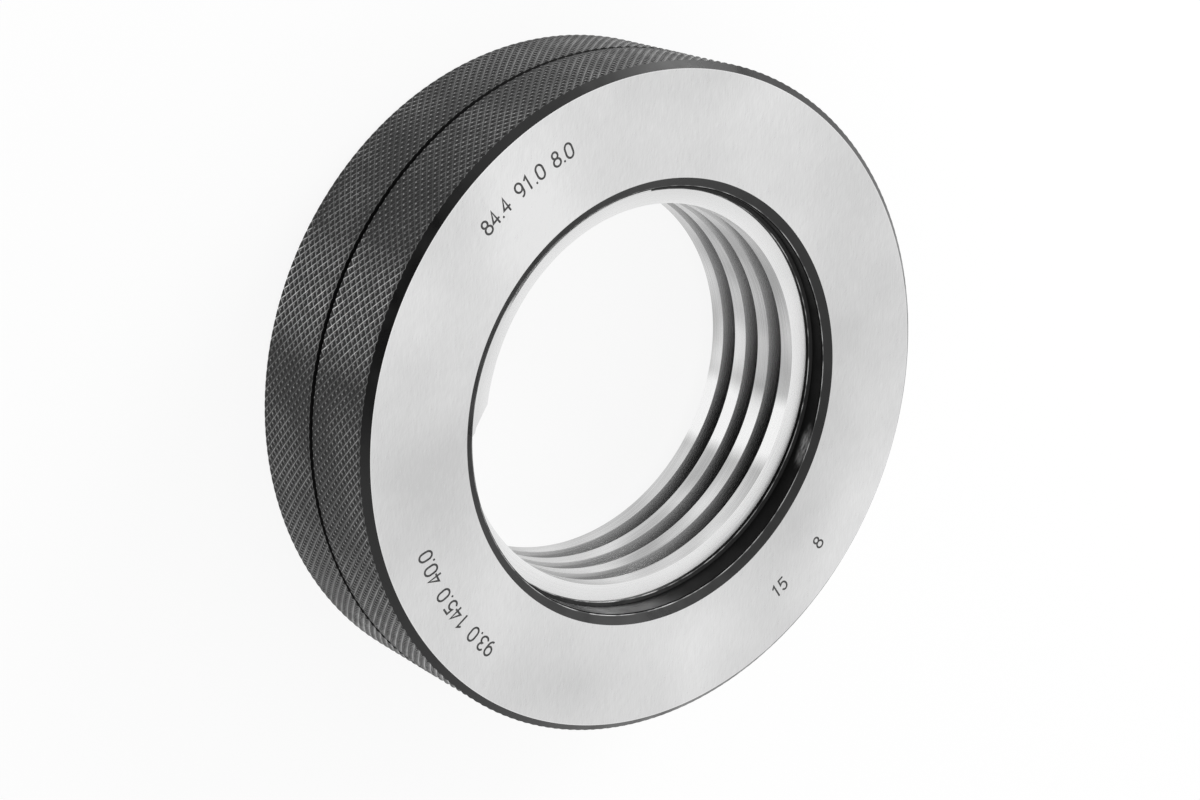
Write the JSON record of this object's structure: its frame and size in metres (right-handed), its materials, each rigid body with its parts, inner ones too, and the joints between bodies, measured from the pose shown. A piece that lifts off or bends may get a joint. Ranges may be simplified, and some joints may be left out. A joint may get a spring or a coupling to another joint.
{
  "type": "thread ring gauge",
  "caption": "Not-go thread ring gauge: thick steel ring with a coarse trapezoidal internal thread, knurled black rim and ground faces.",
  "frame": {"origin": "centre of the plain back face, which the ring lies on", "axes": "+Z along the ring's and the thread's axis, out of the marked face; the thread is right-handed"},
  "size_m": [0.145, 0.145, 0.04],
  "materials": {
    "tool_steel": "hardened tool steel: faces and thread ground bright, knurled rim and mouth of the bore black oxide"
  },
  "bodies": {
    "root": {"gauge_ring": "tool_steel"}
  },
  "joints": []
}
